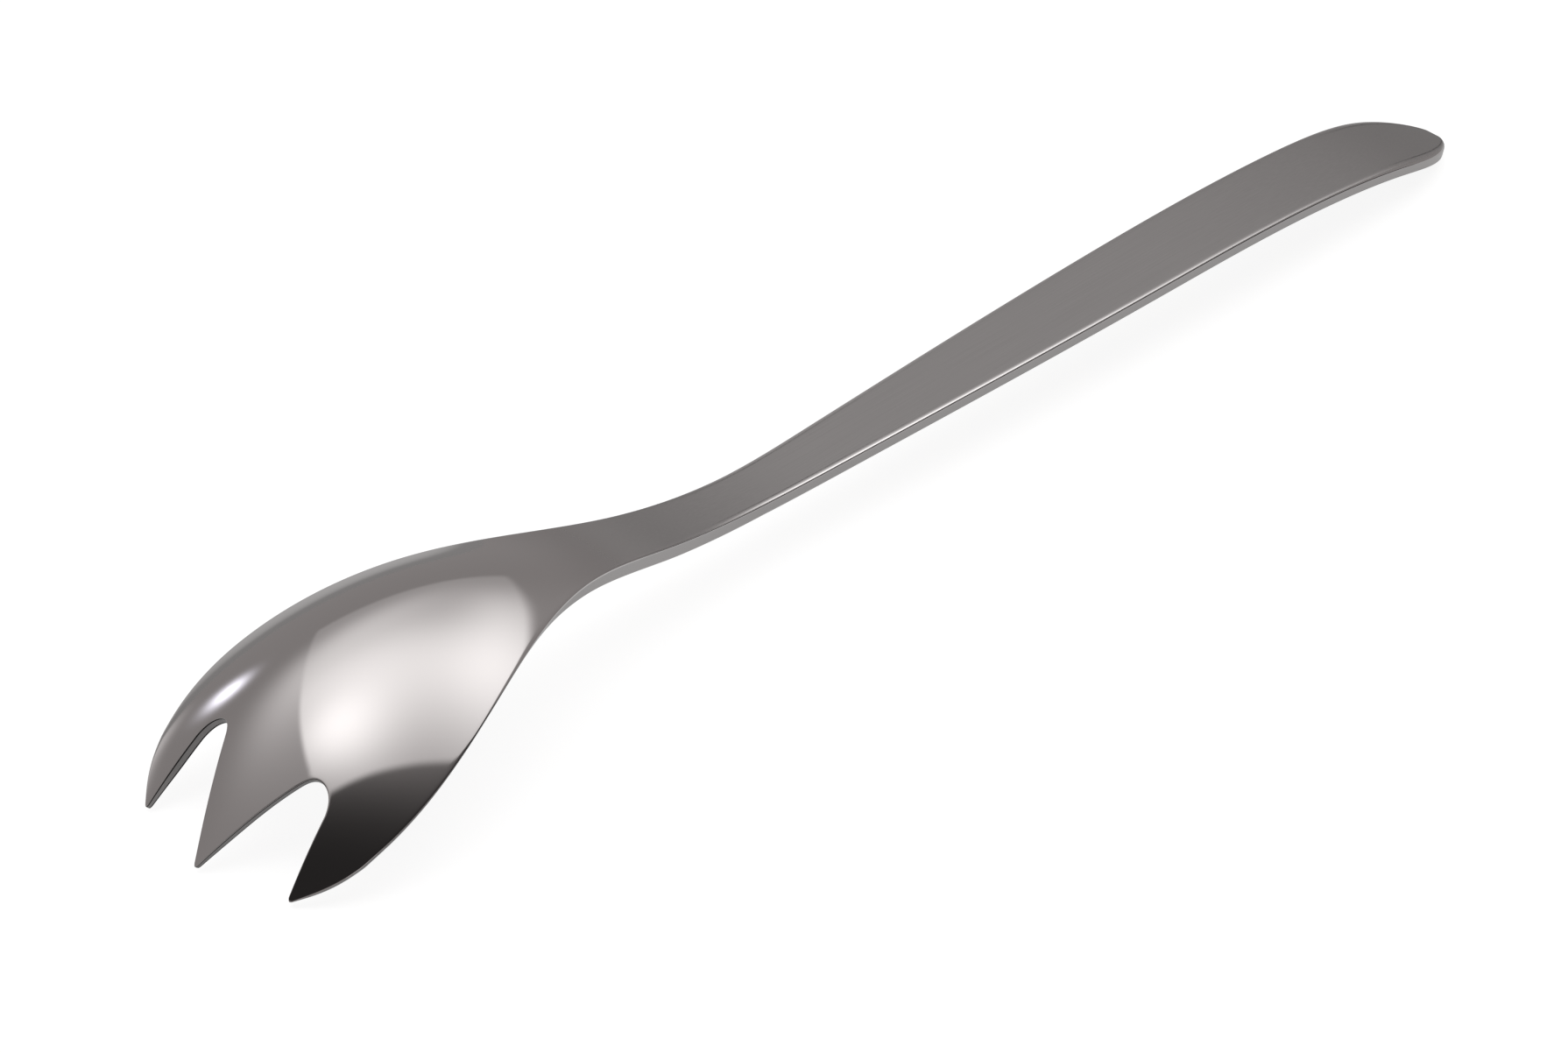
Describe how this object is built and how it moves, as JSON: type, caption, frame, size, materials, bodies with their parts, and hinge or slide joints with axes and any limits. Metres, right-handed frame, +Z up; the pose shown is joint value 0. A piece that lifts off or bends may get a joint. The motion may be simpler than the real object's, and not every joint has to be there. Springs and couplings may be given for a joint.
{
  "type": "serving fork",
  "caption": "One-piece stainless steel serving fork with a deep dished bowl, short pointed tines, narrow neck and flat handle with a down-turned end.",
  "frame": {"origin": "middle of the fork's length and width, on the table it lies on", "axes": "+X from the tine tips to the handle end, +Y towards the left tine, +Z up from the table through the fork's back"},
  "size_m": [0.2298, 0.0394, 0.0214],
  "materials": {
    "polished_steel": "polished",
    "satin_steel": "satin"
  },
  "bodies": {
    "root": {"tine_left": "polished_steel", "tine_middle": "polished_steel", "tine_right": "polished_steel", "bowl": "polished_steel", "neck": "satin_steel", "handle": "satin_steel", "handle_end": "satin_steel"}
  },
  "joints": []
}
